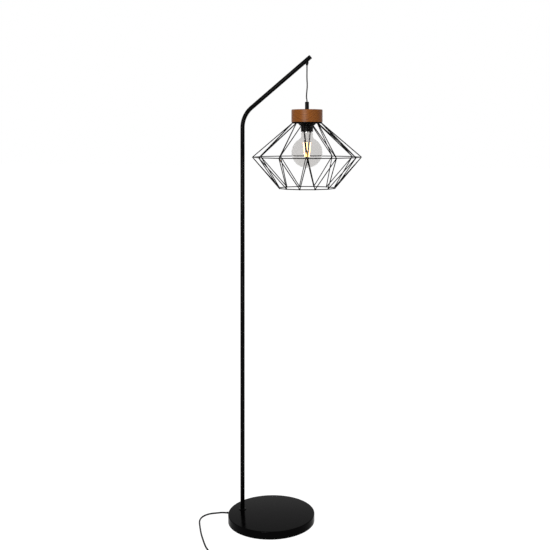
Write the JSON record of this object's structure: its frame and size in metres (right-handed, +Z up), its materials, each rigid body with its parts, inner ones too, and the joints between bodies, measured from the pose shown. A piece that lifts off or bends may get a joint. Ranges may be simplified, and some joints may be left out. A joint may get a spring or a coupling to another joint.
{
  "type": "floor lamp",
  "caption": "Arc floor lamp with a round weighted base, a slim bent pole and a hanging faceted wire cage shade under a wooden cap.",
  "frame": {"origin": "centre of the round base's underside, on the floor", "axes": "+Z up; +X from the pole towards the hanging shade; the pole, the arm and the pendant cord lie in the XZ plane"},
  "size_m": [0.4937, 0.4598, 1.4433],
  "materials": {
    "black_paint": "satin powder coat",
    "iron": "rough, as cast",
    "foam": "matt foam",
    "zinc_steel": "zinc plated",
    "brass": "bright",
    "bulb_metal": "bright",
    "black_plastic": "fine matt",
    "black_bakelite": "moulded, half gloss",
    "white_plastic": "smooth",
    "cord_black": "smooth jacket",
    "cord_grey": "braided",
    "walnut": "oiled, fine grain",
    "clear_glass": "clear",
    "glow": "glowing"
  },
  "bodies": {
    "stand": {"base_cover": "black_paint", "base_weight": "iron", "base_pad": "foam", "stem_washer": "zinc_steel", "stem_nut": "zinc_steel", "foot_collar": "black_paint", "stem_nipple": "zinc_steel", "cable_bushing": "black_plastic", "cord_anchor": "black_plastic", "anchor_screws": "zinc_steel", "terminal_block": "white_plastic", "lower_tube": "black_paint", "middle_tube_1": "black_paint", "middle_tube_2": "black_paint", "arm_tube": "black_paint", "tube_inserts": "zinc_steel", "joint_stud_1": "zinc_steel", "joint_stud_2": "zinc_steel", "joint_stud_3": "zinc_steel", "arm_end_cap": "black_plastic", "arm_grommet": "black_plastic", "inner_cable": "cord_black", "mains_cord": "cord_black", "switch_cord": "cord_black", "cord_coil": "cord_black", "plug_cord": "cord_black", "switch_bottom": "black_plastic", "switch_core": "white_plastic", "switch_top": "black_plastic", "plug_body": "black_plastic", "plug_pins": "bulb_metal"},
    "button": {"switch_button": "black_bakelite"},
    "neck": {"cord_neck": "cord_grey"},
    "hanger": {"pendant_cord": "cord_grey"},
    "shade": {"cord_grip": "black_plastic", "grip_screw": "black_plastic", "wood_cap": "walnut", "holder_nipple": "zinc_steel", "holder_locknut": "zinc_steel", "holder_cap": "black_bakelite", "holder_skirt": "black_bakelite", "shade_ring": "black_bakelite", "holder_insert": "white_plastic", "screw_shell": "brass", "centre_contact": "brass", "cage_top_plate": "black_paint", "cage_top_ring": "black_paint", "cage_mid_ring": "black_paint", "cage_bottom_ring": "black_paint", "cage_upper_wires": "black_paint", "cage_lower_wires": "black_paint"},
    "bulb": {"bulb_glass": "clear_glass", "bulb_cap": "bulb_metal", "bulb_insulator": "black_bakelite", "bulb_contact": "bulb_metal", "bulb_stem": "clear_glass", "bulb_filaments": "glow", "filament_supports": "bulb_metal"}
  },
  "joints": [
    {"name": "switch_press", "type": "slide", "parent": "stand", "child": "button", "axis": [0, 0, -1], "range_m": [0, 0.0025], "stiffness_N_per_m": 400, "springref_m": -0.002},
    {"name": "swing_sideways", "type": "hinge", "parent": "stand", "child": "neck", "pos_m": [0.115, 0, 1.4097], "axis": [1, 0, 0], "range_deg": [-20, 20]},
    {"name": "swing_lengthways", "type": "hinge", "parent": "neck", "child": "hanger", "pos_m": [0.115, 0, 1.4097], "axis": [0, 1, 0], "range_deg": [-25, 6]},
    {"name": "shade_turn", "type": "hinge", "parent": "hanger", "child": "shade", "pos_m": [0.115, 0, 1.2996], "axis": [0, 0, 1], "range_deg": [-90, 90]},
    {"name": "bulb_out", "type": "slide", "parent": "shade", "child": "bulb", "axis": [0, 0, -1], "range_m": [0, 0.03]}
  ]
}
